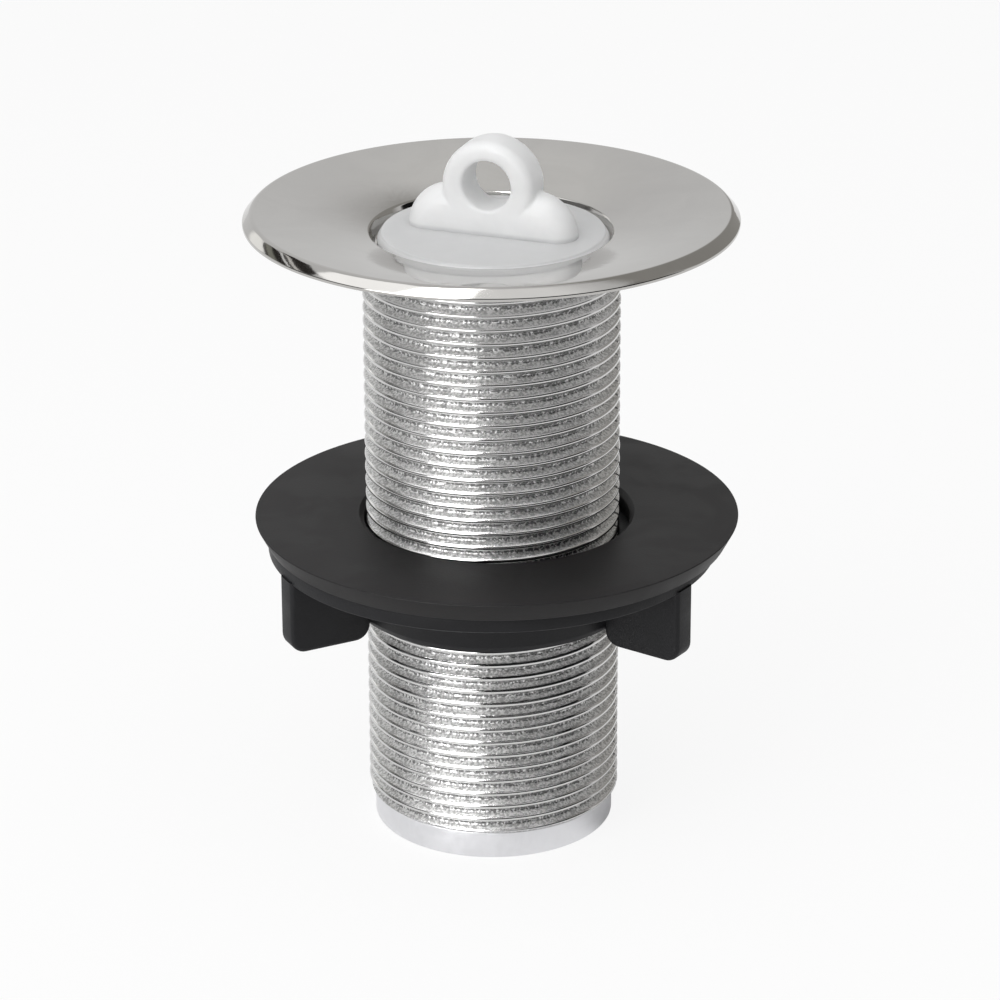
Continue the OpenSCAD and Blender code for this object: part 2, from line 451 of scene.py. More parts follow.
def grain_group():
    """Fine even grain, as a height."""
    inputs = {"Size": (0.3, 0.01, 100), "Detail": (2.0, 0, 15)}
    tree, sheet, given, out = new_group("Grain", inputs, "Height")
    noise = sheet.add(
        "ShaderNodeTexNoise",
        {
            "Vector": sheet.millimetres(),
            "Scale": sheet.calc("DIVIDE", 1.0, given["Size"]),
            "Detail": given["Detail"],
            "Roughness": 0.6,
        },
    )
    sheet.feed(out, noise.outputs["Fac"])
    return tree


def mottle_group():
    """Broad soft unevenness, as of handling and water marks."""
    inputs = {"Size": (8.0, 0.1, 500), "Low": (0.0, -10, 10), "High": (1.0, -10, 10)}
    tree, sheet, given, out = new_group("Mottle", inputs, "Value")
    noise = sheet.add(
        "ShaderNodeTexNoise",
        {
            "Vector": sheet.millimetres(),
            "Scale": sheet.calc("DIVIDE", 1.0, given["Size"]),
            "Detail": 3.0,
            "Roughness": 0.55,
            "Distortion": 0.6,
        },
    )
    sheet.feed(out, sheet.ramp(noise.outputs["Fac"], 0.3, 0.7, given["Low"], given["High"]))
    return tree


def hairline_group():
    """Fine lines left by turning and wiping, drawn out round the axis."""
    tree, sheet, given, out = new_group("Hairlines", {"Spacing": (0.2, 0.01, 100)}, "Height")
    x, y, z = sheet.split(sheet.millimetres())
    round_it = sheet.calc("ARCTAN2", y, x)
    drawn_out = sheet.add("ShaderNodeCombineXYZ", {0: sheet.reach(x, y), 1: z, 2: round_it}).outputs[0]
    noise = sheet.add(
        "ShaderNodeTexNoise",
        {
            "Vector": drawn_out,
            "Scale": sheet.calc("DIVIDE", 1.0, given["Spacing"]),
            "Detail": 1.0,
            "Roughness": 0.5,
        },
    )
    sheet.feed(out, noise.outputs["Fac"])
    return tree


GROUP_MAKERS = {"grain": grain_group, "mottle": mottle_group, "hairlines": hairline_group}
GROUPS = {}


def effect(sheet, name, **values):
    """The output of a shared node group with these values. Each group is built once."""
    if name not in GROUPS:
        GROUPS[name] = GROUP_MAKERS[name]()
    return sheet.add("ShaderNodeGroup", values, node_tree=GROUPS[name]).outputs[0]


def new_material(name):
    """A material with its Principled shader, as (material, sheet, shader)."""
    material = bpy.data.materials.new(name)
    material.use_nodes = True
    material.node_tree.nodes.clear()
    sheet = Sheet(material.node_tree)
    shader = sheet.add("ShaderNodeBsdfPrincipled")
    sheet.add("ShaderNodeOutputMaterial", {"Surface": shader.outputs[0]})
    return material, sheet, shader


def shade(sheet, shader, **inputs):
    """Sets or links the shader's inputs. An underscore stands for a space in a name."""
    for key, value in inputs.items():
        sheet.feed(shader.inputs[key.replace("_", " ")], value)


def darker(colour, amount):
    """A colour multiplied by an amount."""
    return (colour[0] * amount, colour[1] * amount, colour[2] * amount, 1)


def polished_chrome(finish):
    """Bright chrome with a faint orange peel and wiping lines."""
    material, sheet, shader = new_material("polished_chrome")
    marks = effect(sheet, "mottle", Size=9.0)
    peel = effect(sheet, "mottle", Size=2.2)
    lines = effect(sheet, "hairlines", Spacing=0.35)
    height = sheet.plus(sheet.times(peel, 0.010), sheet.times(lines, 0.0016))
    shade(
        sheet,
        shader,
        Base_Color=sheet.blend(marks, darker(finish.chrome, 0.96), finish.chrome),
        Metallic=1.0,
        Roughness=sheet.ramp(marks, 0.0, 1.0, 0.045, 0.075),
        Normal=sheet.bump(height, MM, 0.25),
    )
    return material


def cast_chrome(finish, crest_r, root_r):
    """Chrome over the cast thread: smooth bright crests and speckled sandy flanks. The roots are painted dark
    with a ragged edge: painted shade in the hollows, partly duller plating.
    """
    material, sheet, shader = new_material("cast_chrome")
    fine = effect(sheet, "grain", Size=0.42, Detail=1.0)
    coarse = effect(sheet, "grain", Size=0.9, Detail=2.0)
    patches = effect(sheet, "mottle", Size=6.0, Low=0.5)
    x, y, _ = sheet.split(sheet.millimetres())
    reach = sheet.reach(x, y)

    def unsettled(grain, amount):
        """The distance from the axis, shaken by a grain."""
        return sheet.plus(reach, sheet.times(sheet.calc("SUBTRACT", grain, 0.5), amount))

    crest_mm, root_mm = crest_r / MM, root_r / MM
    flank = sheet.ramp(unsettled(coarse, 0.2), crest_mm - 0.34, crest_mm - 0.2, 1.0, 0.0)
    # The root mask paints the thread's hollows near black: painted shade, partly duller plating.
    root = sheet.ramp(unsettled(fine, 0.6), root_mm + 0.02, root_mm + 0.09, 1.0, 0.0)
    speckle = sheet.ramp(fine, 0.4, 0.6)
    sand = sheet.blend(speckle, darker(finish.cast_flank, 0.58), finish.cast_flank)
    bright = sheet.blend(flank, finish.cast_chrome, sand)
    height = sheet.plus(sheet.times(fine, 0.09), sheet.times(coarse, 0.05))
    skin = sheet.plus(sheet.times(flank, patches), 0.05)
    shade(
        sheet,
        shader,
        Base_Color=sheet.blend(sheet.times(root, 0.65), bright, darker(finish.cast_flank, 0.05)),
        Metallic=1.0,
        Roughness=sheet.ramp(flank, 0.0, 1.0, 0.12, 0.44),
        Normal=sheet.bump(sheet.times(height, skin), MM),
    )
    return material


def satin_metal(finish):
    """The tail's plain end: pale and satin, with faint turning lines."""
    material, sheet, shader = new_material("satin_metal")
    marks = effect(sheet, "mottle", Size=3.0)
    lines = effect(sheet, "hairlines", Spacing=0.25)
    shade(
        sheet,
        shader,
        Base_Color=sheet.blend(marks, darker(finish.bare_end, 0.93), finish.bare_end),
        Metallic=1.0,
        Roughness=sheet.ramp(marks, 0.0, 1.0, 0.32, 0.42),
        Normal=sheet.bump(lines, 0.02 * MM, 0.3),
    )
    return material


def milky_plastic(finish, disc_z):
    """Translucent natural plastic with a soft, uneven skin.

    Its colour is painted greyer on top of the disc: painted shade for the dark bore showing through.
    """
    material, sheet, shader = new_material("milky_plastic")
    cloud = effect(sheet, "mottle", Size=4.0)
    fine = effect(sheet, "grain", Size=0.5, Detail=3.0)
    skin = sheet.blend(cloud, darker(finish.plug, 0.97), finish.plug)
    height = sheet.split(sheet.millimetres())[2]
    disc_mm = disc_z / MM
    # Painted shade: the disc's top is painted greyer, as if the dark bore showed through it.
    above = sheet.ramp(height, disc_mm + 0.1, disc_mm + 0.9)
    below = sheet.ramp(height, disc_mm - 0.45, disc_mm - 0.15, 1.0, 0.0)
    shade(
        sheet,
        shader,
        Base_Color=sheet.blend(sheet.calc("MAXIMUM", above, below), darker(finish.plug, 0.77), skin),
        Roughness=sheet.ramp(cloud, 0.0, 1.0, 0.34, 0.44),
        Normal=sheet.bump(fine, 0.12 * MM, 0.25),
        Subsurface_Weight=0.7,
        Subsurface_Radius=(1.0, 1.0, 1.0),
        Subsurface_Scale=3.5 * MM,
        Transmission_Weight=0.25,
        IOR=1.5,
        Specular_IOR_Level=0.32,
    )
    return material


def satin_rubber(finish):
    """Black rubber with a satin, faintly clouded skin."""
    material, sheet, shader = new_material("satin_rubber")
    bloom = effect(sheet, "mottle", Size=14.0)
    fine = effect(sheet, "grain", Size=0.35, Detail=2.0)
    shade(
        sheet,
        shader,
        Base_Color=sheet.blend(bloom, darker(finish.rubber, 0.85), darker(finish.rubber, 1.12)),
        Roughness=sheet.ramp(bloom, 0.0, 1.0, 0.46, 0.54),
        Normal=sheet.bump(fine, 0.06 * MM, 0.3),
        Specular_IOR_Level=0.16,
    )
    return material


def grained_plastic(finish):
    """Black moulded plastic with a fine grain."""
    material, sheet, shader = new_material("grained_plastic")
    bloom = effect(sheet, "mottle", Size=9.0)
    fine = effect(sheet, "grain", Size=0.28, Detail=2.0)
    shade(
        sheet,
        shader,
        Base_Color=sheet.blend(bloom, darker(finish.moulding, 0.85), darker(finish.moulding, 1.15)),
        Roughness=sheet.ramp(bloom, 0.0, 1.0, 0.45, 0.55),
        Normal=sheet.bump(fine, 0.1 * MM, 0.5),
        Specular_IOR_Level=0.2,
    )
    return material


# The pieces


def thread_outline(low, root_r, sizes):
    """One pitch of the thread's outline, from root to root, with round crests and roots."""
    crest_r = root_r + sizes.thread_depth
    r = sizes.root_round
    lean = 90 - FLANK_DEG
    low_root = arc(root_r + r, low, r, 180, 180 - lean, 3)
    crest = arc(crest_r - sizes.crest_round, low + sizes.pitch / 2, sizes.crest_round, -lean, lean, 8)
    high_root = arc(root_r + r, low + sizes.pitch, r, 180 + lean, 180, 3)
    return low_root + crest + high_root


def threaded_sleeve(sizes, root_r, low, high, end_r):
    """The tail's right-hand thread: one pitch swept up a helix, and cut to a blank with a coned start."""
    first = low - 2 * sizes.pitch
    turns = math.ceil((high - first) / sizes.pitch) + 2
    rod = drawn("rod", thread_outline(first, root_r, sizes), closed=False)
    bpy.ops.object.mode_set(mode="OBJECT")
    applied(
        rod,
        "SCREW",
        axis="Z",
        screw_offset=sizes.pitch,
        iterations=turns,
        steps=SMALL_ROUND,
        render_steps=SMALL_ROUND,
        use_merge_vertices=True,
        merge_threshold=WEED / 4,
        use_smooth_shade=True,
    )
    only(rod)
    bpy.ops.object.mode_set(mode="EDIT")
    bpy.ops.mesh.select_all(action="SELECT")
    bpy.ops.mesh.remove_doubles(threshold=WEED / 4)
    # The sweep's ragged ends are cut off square and closed
    for height, upper in ((first + 1.2 * sizes.pitch, False), (high + sizes.pitch, True)):
        bpy.ops.mesh.select_all(action="SELECT")
        bpy.ops.mesh.bisect(
            plane_co=(0, 0, height),
            plane_no=(0, 0, 1),
            use_fill=True,
            clear_inner=not upper,
            clear_outer=upper,
            threshold=WEED / 20,
        )
    bpy.ops.mesh.select_all(action="SELECT")
    bpy.ops.mesh.normals_make_consistent(inside=False)
    bpy.ops.object.mode_set(mode="OBJECT")
    outer_r = root_r + sizes.thread_depth + CLEAR
    inner_r = root_r - SLEEVE_WALL
    outline = [(inner_r, low), (end_r + CLEAR, low), (outer_r, low + sizes.run_in)]
    outline += [(outer_r, high), (inner_r, high)]
    return combined(rod, turned("blank", outline), "INTERSECT")


def parting_slit(sizes, root_r, low, high, bearing):
    """The room of one narrow slit across the ridges, where the two halves of the mould met."""
    size = (2 * (sizes.thread_depth - 2 * CLEAR), sizes.parting_w, high - low)
    centre = (root_r + sizes.thread_depth, 0, (low + high) / 2)
    return swung(block("slit", size, centre), bearing)


def cross_bars(sizes, reach, low):
    """Two bars and a hub across the waterway, with soft edges."""
    top = low + sizes.bar_h
    hub_r = sizes.bar_hub_d / 2
    outline = [(0, low), (hub_r, low, sizes.bar_round / 2), (hub_r, top, sizes.bar_round), (0, top)]
    hub = turned("bar_hub", softened(outline), steps=HUB_ROUND, closed=False)
    for turn in (0, math.pi / 2):
        bar = swung(block("bar", (2 * reach, sizes.bar_w, sizes.bar_h), (0, 0, (low + top) / 2)), turn)
        bpy.ops.object.mode_set(mode="EDIT")
        along = Vector((math.cos(turn), math.sin(turn), 0))
        pick(bar, "EDGE", lambda e: abs((e.verts[0].co - e.verts[1].co).normalized().dot(along)) > 0.9)
        bpy.ops.mesh.bevel(offset=sizes.bar_round, segments=3)
        bpy.ops.object.mode_set(mode="OBJECT")
        combined(hub, bar, "UNION")
    return hub


class WASTE_OT_body(bpy.types.Operator):
    """Models the chromed body: dished flange, plug seat, cross bars and threaded tail"""

    bl_idname = "waste.body"
    bl_label = "Chromed body"

    def execute(self, context):
        sizes, finish = context.scene.waste_body_sizes, context.scene.waste_finishes
        top = BODY_HIGH.z
        flange_r = -BODY_LOW.y
        thread_r = MOUNTS["tail_thread"]["dims"]["r_mm"] * MM
        bore_r = MOUNTS["outlet_bore"]["dims"]["r_mm"] * MM
        bars_low = MOUNTS["outlet_bore"]["dims"]["length_mm"] * MM
        end_r = MOUNTS["tail_plain_end"]["dims"]["r_mm"] * MM
        end_h = MOUNTS["tail_thread"]["pos_m"][2]
        root_r = thread_r - sizes.thread_depth
        rim_z = top - sizes.rim_h
        dish_z = top - sizes.dish_depth
        ledge_z = dish_z - sizes.seat_depth
        hub_z = dish_z - sizes.hub_wall
        bowl_r = bore_r + sizes.bowl_step
        ledge_r = bowl_r + sizes.ledge_w
        mouth_r = ledge_r + sizes.seat_flare
        hub_r = thread_r + BITE
        core_r = root_r - BITE
        body = turned(
            "chromed_body",
            softened(
                [
                    (bore_r, 0, SOFT),
                    (end_r, 0, sizes.end_bevel),
                    (end_r, end_h, CRISP),
                    (core_r, end_h + 2 * CLEAR),
                    (core_r, hub_z),
                    (hub_r, hub_z, CRISP),
                    (flange_r - sizes.seal_ring_w, rim_z, sizes.bed_round),
                    (flange_r, rim_z, 0.12 * MM),
                    (flange_r, top - sizes.rim_bevel_h, SOFT),
                    (flange_r - sizes.rim_bevel_w, top, sizes.rim_round),
                    (mouth_r, dish_z, ROUNDED),
                    (ledge_r, ledge_z, SOFT),
                    (bowl_r, ledge_z, 0.2 * MM),
                    (bowl_r, bars_low, 0.2 * MM),
                    (bore_r, bars_low),
                ]
            ),
            steps=LARGE_ROUND,
        )
        sleeve = threaded_sleeve(sizes, root_r, end_h, hub_z + SLEEVE_BITE, end_r)
        for side in (0, math.pi):
            slit = parting_slit(sizes, root_r, end_h, hub_z + MM, sizes.parting_turn + side)
            combined(sleeve, slit, "DIFFERENCE")
        combined(body, sleeve, "UNION")
        combined(body, cross_bars(sizes, bowl_r + BITE, bars_low), "UNION")
        settle(body)
        materials = [polished_chrome(finish), cast_chrome(finish, thread_r, root_r), satin_metal(finish)]
        polished, cast, satin = range(3)

        def zone(radius, height, normal):
            if end_h < height < hub_z + BITE and radius > core_r:
                return cast
            if height <= end_h or (radius < bowl_r and height < ledge_z):
                return satin
            under_flange = normal.z < -0.3 and height > hub_z
            return cast if under_flange else polished

        painted(body, materials, zone)
        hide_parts("waste_body")
        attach(body, "waste_body")
        return {"FINISHED"}


def round_edged_disc(name, r, t, edge_r):
    """A disc with its axis along Y and its edges rounded."""
    half = t / 2
    upper = arc(r - edge_r, half - edge_r, edge_r, 90, 0, 8)
    lower = arc(r - edge_r, -half + edge_r, edge_r, 0, -90, 8)
    return tipped(turned(name, [(0, half)] + upper + lower + [(0, -half)], steps=SMALL_ROUND, closed=False))


def plug_handle(sizes, eye_r, foot):
    """The handle: a soft-edged bar with round shoulders, and a ring with an eye, in the plug's own place."""
    half = sizes.handle_t / 2
    side = sizes.handle_len / 2 - sizes.shoulder_r
    # A little less than half, so that the two arcs of an edge don't meet in one point
    soft = half * 0.98
    handle = shifted(round_edged_disc("handle", sizes.shoulder_r, sizes.handle_t, soft), (-side, 0, 0))
    other = shifted(round_edged_disc("shoulder", sizes.shoulder_r, sizes.handle_t, soft), (side, 0, 0))
    section = [(-half, -half)] + arc(0, sizes.shoulder_r - half, half, 180, 0, 16) + [(half, -half)]
    web = drawn("web", section, closed=True)
    bpy.ops.mesh.edge_face_add()
    bpy.ops.mesh.extrude_region_move(TRANSFORM_OT_translate={"value": (0, 2 * side, 0)})
    bpy.ops.mesh.select_all(action="SELECT")
    bpy.ops.mesh.normals_make_consistent(inside=False)
    bpy.ops.transform.rotate(value=math.pi / 2, orient_axis="Z", center_override=(0, side, 0))
    bpy.ops.object.mode_set(mode="OBJECT")
    shifted(web, (0, -side, 0))
    ring = round_edged_disc("ring", sizes.ring_d / 2, sizes.handle_t, sizes.ring_round)
    shifted(ring, (0, 0, sizes.ring_rise))
    for piece in (other, web, ring):
        combined(handle, piece, "UNION")
    reach = half + MM
    bell = arc(eye_r + sizes.eye_round, half - sizes.eye_round, sizes.eye_round, 90, 180, 8)
    upper = [(0, reach), (bell[0][0], reach)] + bell
    lower = [(x, -z) for x, z in reversed(upper)]
    eye = tipped(turned("eye", upper + lower, steps=SMALL_ROUND, closed=False))
    combined(handle, shifted(eye, (0, 0, sizes.eye_rise)), "DIFFERENCE")
    # Only what stands above the foot is kept, and its joints are melted into one moulding
    height = sizes.ring_rise + sizes.ring_d
    room = (2 * sizes.handle_len, 2 * sizes.handle_t, height)
    combined(handle, block("room", room, (0, 0, height / 2 - HANDLE_ROOT)), "INTERSECT")
    applied(handle, "REMESH", mode="VOXEL", voxel_size=0.2 * MM, adaptivity=0.0)
    applied(handle, "SMOOTH", factor=0.5, iterations=6)
    handle.location = foot
    return swung(handle, sizes.handle_turn)


class WASTE_OT_plug(bpy.types.Operator):
    """Models the lift-out plug: disc, skirt and handle in one moulding"""

    bl_idname = "waste.plug"
    bl_label = "Lift-out plug"

    def execute(self, context):
        sizes, finish = context.scene.waste_plug_sizes, context.scene.waste_finishes
        centre_x = MOUNTS["plug_eye"]["pos_m"][0]
        eye_r = MOUNTS["plug_eye"]["dims"]["r_mm"] * MM
        plug_r = PLUG_HIGH.x - centre_x
        ledge_z = PLUG_LOW.z + sizes.skirt_h
        disc_z = ledge_z + sizes.disc_t
        foot_r = sizes.skirt_r - sizes.skirt_taper
        under_r = sizes.skirt_r - sizes.skirt_wall
        plug = turned(
            "lift_out_plug",
            softened(
                [
                    (0, disc_z),
                    (plug_r - sizes.lip_w, disc_z, SOFT),
                    (plug_r, disc_z - sizes.lip_h, 0.35 * MM),
                    (plug_r, ledge_z, SOFT),
                    (sizes.skirt_r, ledge_z, SOFT),
                    (foot_r, PLUG_LOW.z, ROUNDED),
                    (foot_r - sizes.skirt_wall, PLUG_LOW.z, ROUNDED),
                    (under_r, ledge_z, 0.6 * MM),
                    (0, ledge_z),
                ]
            ),
            closed=False,
        )
        shifted(plug, (centre_x, 0, 0))
        combined(plug, plug_handle(sizes, eye_r, (centre_x, 0, disc_z)), "UNION")
        settle(plug, 40)
        painted(plug, [milky_plastic(finish, disc_z)])
        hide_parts("plug")
        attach(plug, "plug")
        return {"FINISHED"}


class WASTE_OT_washer(bpy.types.Operator):
    """Models the rubber backing washer"""

    bl_idname = "waste.washer"
    bl_label = "Backing washer"

    def execute(self, context):
        sizes, finish = context.scene.waste_washer_sizes, context.scene.waste_finishes
        centre_x = (WASHER_LOW.x + WASHER_HIGH.x) / 2
        washer_r = (WASHER_HIGH.x - WASHER_LOW.x) / 2
        hole_r = MOUNTS["tail_thread"]["dims"]["r_mm"] * MM + sizes.gap
        low, top = WASHER_LOW.z, WASHER_HIGH.z
        washer = turned(
            "rubber_washer",
            softened(
                [
                    (hole_r, low, CRISP),
                    (washer_r - sizes.slope, low, SOFT),
                    (washer_r, top - sizes.edge_bevel, 0.1 * MM),
                    (washer_r - sizes.edge_bevel, top, 0.1 * MM),
                    (hole_r + sizes.hole_bevel, top, 0.2 * MM),
                    (hole_r, top - sizes.hole_bevel, 0.2 * MM),
                ]
            ),
            steps=LARGE_ROUND,
        )
        shifted(washer, (centre_x, 0, 0))
        settle(washer)
        painted(washer, [satin_rubber(finish)])
        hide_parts("backing_washer")
        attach(washer, "backing_washer")
        return {"FINISHED"}


def wing(sizes, inner_r, outer_r, top, bearing):
    """One wing of the back nut, with a sloping foot and soft corners."""
    low = top - sizes.wing_h
    head = top + WING_BITE
    size = (outer_r - inner_r, sizes.wing_t, head - low)
    obj = block("wing", size, ((inner_r + outer_r) / 2, 0, (low + head) / 2))
    bpy.ops.object.mode_set(mode="EDIT")
    pick(obj, "VERT", lambda v: v.co.z < low + WEED and v.co.x < inner_r + WEED)
    bpy.ops.transform.translate(value=(0, 0, sizes.wing_rise))
    foot_top = low + sizes.wing_rise + WEED

    def across(edge):
        a, b = (v.co for v in edge.verts)
        return abs(a.y - b.y) > sizes.wing_t / 2 and max(a.z, b.z) < foot_top

    pick(obj, "EDGE", across)
    bpy.ops.mesh.bevel(offset=sizes.wing_corner_r, segments=8)

    def outline_edge(edge):
        a, b = (v.co for v in edge.verts)
        same_side = abs(a.y - b.y) < WEED
        return same_side and min(a.z, b.z) < top and not (a.x < inner_r + WEED and b.x < inner_r + WEED)

    pick(obj, "EDGE", outline_edge)
    bpy.ops.mesh.bevel(offset=sizes.wing_edge_r, segments=4)
    bpy.ops.mesh.select_all(action="SELECT")
    bpy.ops.mesh.normals_make_consistent(inside=False)
    bpy.ops.object.mode_set(mode="OBJECT")
    return swung(obj, bearing)


class WASTE_OT_nut(bpy.types.Operator):
    """Models the winged back nut"""

    bl_idname = "waste.nut"
    bl_label = "Winged back nut"

    def execute(self, context):
        sizes, finish = context.scene.waste_nut_sizes, context.scene.waste_finishes
        top = NUT_HIGH.z
        flange_r = -NUT_LOW.y
        flange_z = top - sizes.flange_t
        bore_r = MOUNTS["tail_thread"]["dims"]["r_mm"] * MM + sizes.gap
        collar_r = bore_r + sizes.collar_wall
        collar_z = flange_z - sizes.collar_h
        nut = turned(
            "winged_nut",
            softened(
                [
                    (bore_r, collar_z + sizes.bore_bevel),
                    (bore_r + sizes.bore_bevel, collar_z),
                    (collar_r - sizes.collar_bevel_w, collar_z, CRISP),
                    (collar_r, collar_z + sizes.collar_bevel_h, CRISP),
                    (collar_r + sizes.collar_draft, flange_z, ROUNDED),
                    (flange_r, flange_z, 0.35 * MM),
                    (flange_r, top, SOFT),
                    (bore_r, top),
                ]
            ),
            steps=LARGE_ROUND,
        )
        inner_r = collar_r - BITE
        outer_r = collar_r + sizes.wing_reach
        for k in range(sizes.wing_count):
            bearing = math.radians(-90) + sizes.wing_turn + (k + 0.5) * math.tau / sizes.wing_count
            combined(nut, wing(sizes, inner_r, outer_r, flange_z, bearing), "UNION")
        settle(nut)
        painted(nut, [grained_plastic(finish)])
        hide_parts("winged_back_nut")
        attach(nut, "winged_back_nut")
        return {"FINISHED"}


# The stage

FOCAL_PX = 4104.0
SENSOR_MM = 36.0
PHOTO_PX = 1000.0
CAMERA_AIM = Vector((1.23, 0, 55.88)) * MM
CAMERA_AWAY = 677.1 * MM
CAMERA_RISE = math.radians(22.17)
CAMERA_ROLL = math.radians(-0.18)
FLOOR_GLOW = 0.88
DOME_LEVEL = (0.55, 0.55, 0.55)
ROOM_LEVEL = 0.80
STAGE_CENTRE = Vector((0, 0, 55)) * MM
# What the metal mirrors. A later wall covers an earlier one. bearing and rise give (low, high, softness)
# in degrees, and a bearing of 0 is the camera's side
STUDIO_WALLS = (
    {"bearing": (-62, 62, 20), "rise": (50, 84, 8), "colour": (1.2, 1.2, 1.2)},
    {"bearing": (-110, -58, 4), "rise": (-8, 36, 3), "colour": (0.2, 0.2, 0.2)},
    {"bearing": (-104, -86, 2), "rise": (0, 14, 2), "colour": (0.012, 0.012, 0.012)},
    {"bearing": (-104, -20, 1), "rise": (39.5, 70, 1), "colour": (1.75, 1.75, 1.75)},
    {"bearing": (-58, -15, 2), "rise": (-8, 50, 5), "colour": (5.6, 5.6, 5.6)},
    {"bearing": (-58, -15, 2), "rise": (50, 84, 5), "colour": (9.5, 9.5, 9.5)},
    {"bearing": (-15, 96, 2), "rise": (-8, 46, 3), "colour": (0.012, 0.012, 0.012)},
    {"bearing": (84, 170, 8), "rise": (34, 68, 6), "colour": (0.38, 0.37, 0.35)},
    {"bearing": (104, 170, 6), "rise": (-5, 40, 4), "colour": (0.38, 0.37, 0.35)},
    {"bearing": (-146, -130, 2), "rise": (9, 20, 2), "colour": (1.36, 1.36, 1.33)},
    {"bearing": (-137, -102, 1), "rise": (19.5, 39.5, 0.5), "colour": (0.04, 0.037, 0.034)},
    {"bearing": (-137, -102, 1), "rise": (21, 24.5, 0.8), "colour": (0.30, 0.30, 0.26)},
    {"bearing": (-137, -102, 1), "rise": (28.4, 29.6, 0.3), "colour": (1.1, 1.1, 1.1)},
    {"bearing": (-137, -102, 1), "rise": (31, 32.6, 0.3), "colour": (0.9, 0.88, 0.85)},
    {"bearing": (-200, -160, 5), "rise": (32, 50, 6), "colour": (0.89, 0.89, 0.88)},
    {"bearing": (172, 200, 3), "rise": (32, 50, 6), "colour": (0.89, 0.89, 0.88)},
)
# The dim patch that the plain end mirrors, on the floor: degrees where it starts and is full, and the
# distances from the axis in millimetres where it starts to fade and is gone
PATCH_BEARING = (47, 74)
PATCH_REACH = (36, 50)
PATCH_DIM = 0.95


def around(bearing_deg, rise_deg, distance):
    """A place round the object: bearing 0 is the camera's side, and it grows to the right."""
    b, r = math.radians(bearing_deg), math.radians(rise_deg)
    way = Vector((math.sin(b) * math.cos(r), -math.cos(b) * math.cos(r), math.sin(r)))
    return STAGE_CENTRE + way * distance


def softbox(name, bearing, rise, distance, size, radiance):
    """A rectangular lamp of an even brightness. What shines back at the camera is in the world, not here."""
    data = bpy.data.lights.new(name, "AREA")
    data.shape = "RECTANGLE"
    data.size, data.size_y = size
    data.energy = radiance * math.pi * size[0] * size[1]
    lamp = bpy.data.objects.new(name, data)
    bpy.context.scene.collection.objects.link(lamp)
    lamp.location = around(bearing, rise, distance)
    lamp.rotation_euler = (STAGE_CENTRE - lamp.location).to_track_quat("-Z", "Y").to_euler()
    lamp.visible_camera = lamp.visible_glossy = False


def seen_directly(sheet):
    """1 for rays from the camera and for rays that metal or glass sends on, and 0 for other light."""
    path = sheet.add("ShaderNodeLightPath").outputs
    first = sheet.calc("MAXIMUM", path["Is Camera Ray"], path["Is Glossy Ray"])
    return sheet.calc("MAXIMUM", first, path["Is Transmission Ray"])


def dim_patch(sheet):
    """1 on the floor just right of the tail, and 0 further out and on the other sides."""
    x, y, _ = sheet.split(sheet.millimetres())
    sector = sheet.ramp(sheet.bearing(x, y), *PATCH_BEARING)
    return sheet.times(sector, sheet.ramp(sheet.reach(x, y), *PATCH_REACH, 1.0, 0.0))


def studio_walls(sheet):
    """What the polished metal mirrors: a pale room with soft boxes and dark screens in set directions."""
    x, y, z = sheet.split(sheet.add("ShaderNodeTexCoord").outputs["Generated"])
    bearing = sheet.bearing(x, y)
    rise = sheet.times(sheet.calc("ARCSINE", z), 180 / math.pi)
    level = (ROOM_LEVEL, ROOM_LEVEL, ROOM_LEVEL, 1)
    for wall in STUDIO_WALLS:
        mask = 1.0
        for degrees, (low, high, soft) in ((bearing, wall["bearing"]), (rise, wall["rise"])):
            mask = sheet.times(mask, sheet.ramp(degrees, low - soft, low + soft))
            mask = sheet.times(mask, sheet.ramp(degrees, high - soft, high + soft, 1.0, 0.0))
        level = sheet.blend(mask, level, (*wall["colour"], 1))
    return level


def white_floor(finish):
    """A wide floor that takes the object's shadow, and that the camera and the metal see as white."""
    bpy.ops.object.select_all(action="DESELECT")
    bpy.ops.mesh.primitive_plane_add(size=12)
    floor = fresh("floor")
    material, sheet, shader = new_material("pale_floor")
    shade(sheet, shader, Base_Color=finish.floor, Roughness=0.9)
    glow = sheet.add("ShaderNodeEmission", {"Color": (1, 1, 1, 1), "Strength": 1.0})
    mirrored = sheet.add("ShaderNodeLightPath").outputs["Is Glossy Ray"]
    dim = sheet.times(dim_patch(sheet), sheet.times(mirrored, PATCH_DIM))
    level = sheet.times(sheet.calc("SUBTRACT", 1.0, dim), FLOOR_GLOW)
    share_seen = sheet.times(seen_directly(sheet), level)
    both = sheet.add("ShaderNodeMixShader", {0: share_seen, 1: shader.outputs[0], 2: glow.outputs[0]})
    out = next(n for n in material.node_tree.nodes if n.type == "OUTPUT_MATERIAL")
    sheet.feed(out.inputs["Surface"], both.outputs[0])
    floor.data.materials.append(material)
    return floor


def studio_room(scene):
    """The world: white for the camera, the studio's walls for metal and glass, and an even dome of light."""
    world = bpy.data.worlds.new("studio")
    scene.world = world
    world.use_nodes = True
    world.node_tree.nodes.clear()
    sheet = Sheet(world.node_tree)
    path = sheet.add("ShaderNodeLightPath").outputs
    mirrored = sheet.calc("MAXIMUM", path["Is Glossy Ray"], path["Is Transmission Ray"])
    plain = sheet.blend(path["Is Camera Ray"], (*DOME_LEVEL, 1), (1, 1, 1, 1))
    colour = sheet.blend(mirrored, plain, studio_walls(sheet))
    sky = sheet.add("ShaderNodeBackground", {"Color": colour, "Strength": 1.0})
    sheet.add("ShaderNodeOutputWorld", {"Surface": sky.outputs[0]})


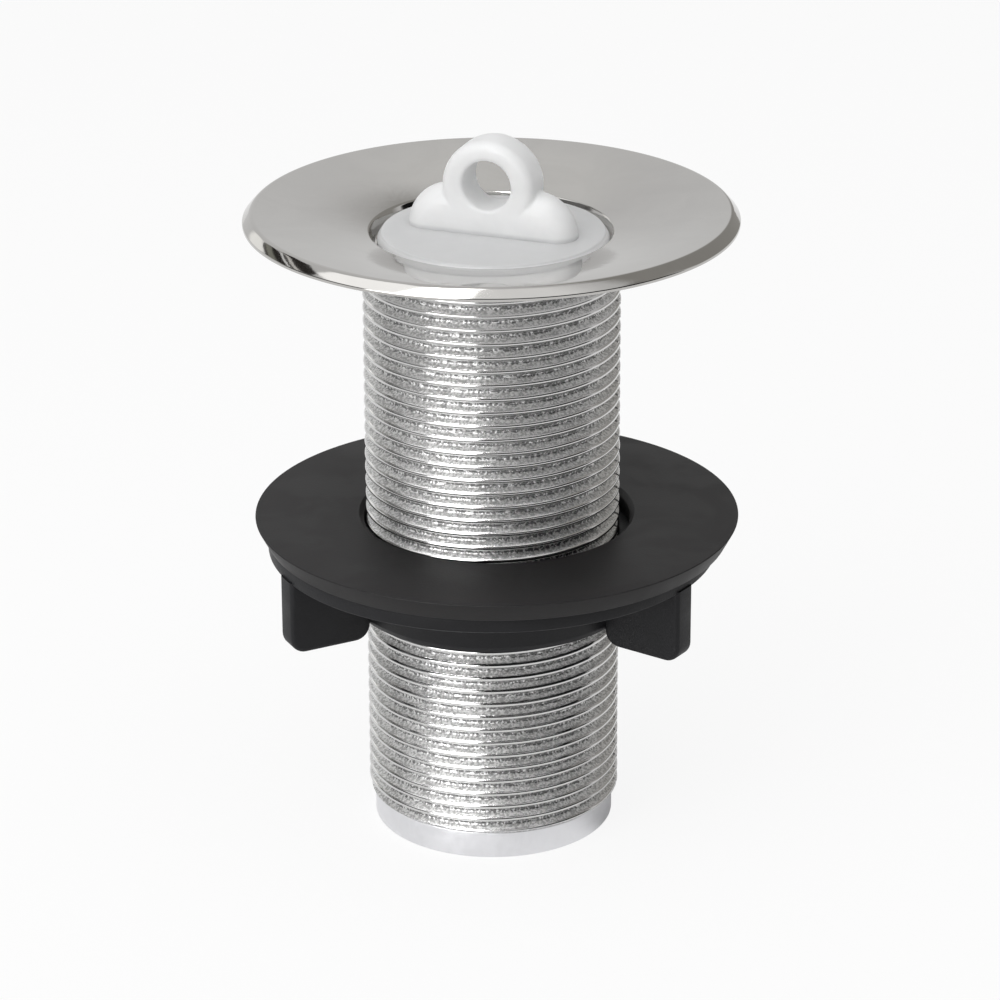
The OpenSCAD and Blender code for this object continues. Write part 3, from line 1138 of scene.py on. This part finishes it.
def photo_camera(scene):
    """The camera that was fitted to the photo."""
    data = bpy.data.cameras.new("camera")
    data.sensor_width = SENSOR_MM
    data.lens = FOCAL_PX / PHOTO_PX * SENSOR_MM
    data.clip_start, data.clip_end = 0.01, 50
    camera = bpy.data.objects.new("camera", data)
    scene.collection.objects.link(camera)
    back = Vector((0, -math.cos(CAMERA_RISE), math.sin(CAMERA_RISE)))
    place = Matrix.Translation(CAMERA_AIM + back * CAMERA_AWAY)
    look = (-back).to_track_quat("-Z", "Y").to_matrix().to_4x4()
    camera.matrix_world = place @ look @ Matrix.Rotation(CAMERA_ROLL, 4, "Z")
    scene.camera = camera


class WASTE_OT_stage(bpy.types.Operator):
    """Sets up the floor, the room, the soft lamps and the camera"""

    bl_idname = "waste.stage"
    bl_label = "Studio stage"

    def execute(self, context):
        scene = context.scene
        scene.view_settings.view_transform = "Standard"
        floor = white_floor(scene.waste_finishes)
        studio_room(scene)
        softbox("key_box", bearing=-36, rise=30, distance=0.75, size=(0.55, 0.9), radiance=2.0)
        softbox("top_box", bearing=0, rise=78, distance=0.8, size=(0.7, 0.5), radiance=1.4)
        photo_camera(scene)
        return {"FINISHED"}


class WASTE_PT_panel(bpy.types.Panel):
    """Lists the pieces of the basin waste and its stage"""

    bl_idname = "WASTE_PT_panel"
    bl_label = "Basin waste"
    bl_space_type = "VIEW_3D"
    bl_region_type = "UI"
    bl_category = "Basin waste"

    def draw(self, context):
        for operator, group in STEPS:
            self.layout.operator(operator.bl_idname)
            settings = getattr(context.scene, group)
            box = self.layout.box()
            for name in settings.bl_rna.properties.keys():
                if name not in {"rna_type", "name"}:
                    box.prop(settings, name)


SETTINGS = {
    "waste_body_sizes": BodySizes,
    "waste_plug_sizes": PlugSizes,
    "waste_washer_sizes": WasherSizes,
    "waste_nut_sizes": NutSizes,
    "waste_finishes": Finishes,
}
STEPS = (
    (WASTE_OT_body, "waste_body_sizes"),
    (WASTE_OT_plug, "waste_plug_sizes"),
    (WASTE_OT_washer, "waste_washer_sizes"),
    (WASTE_OT_nut, "waste_nut_sizes"),
    (WASTE_OT_stage, "waste_finishes"),
)


def register():
    """Registers the settings, the operators and the panel."""
    for name, group in SETTINGS.items():
        bpy.utils.register_class(group)
        setattr(bpy.types.Scene, name, bpy.props.PointerProperty(type=group))
    for operator, _ in STEPS:
        bpy.utils.register_class(operator)
    bpy.utils.register_class(WASTE_PT_panel)


def unregister():
    """Takes back what register did."""
    bpy.utils.unregister_class(WASTE_PT_panel)
    for operator, _ in reversed(STEPS):
        bpy.utils.unregister_class(operator)
    for name, group in SETTINGS.items():
        delattr(bpy.types.Scene, name)
        bpy.utils.unregister_class(group)


def main():
    """Makes every piece and the stage."""
    register()
    bpy.ops.waste.body()
    bpy.ops.waste.plug()
    bpy.ops.waste.washer()
    bpy.ops.waste.nut()
    bpy.ops.waste.stage()


if __name__ == "__main__":
    main()
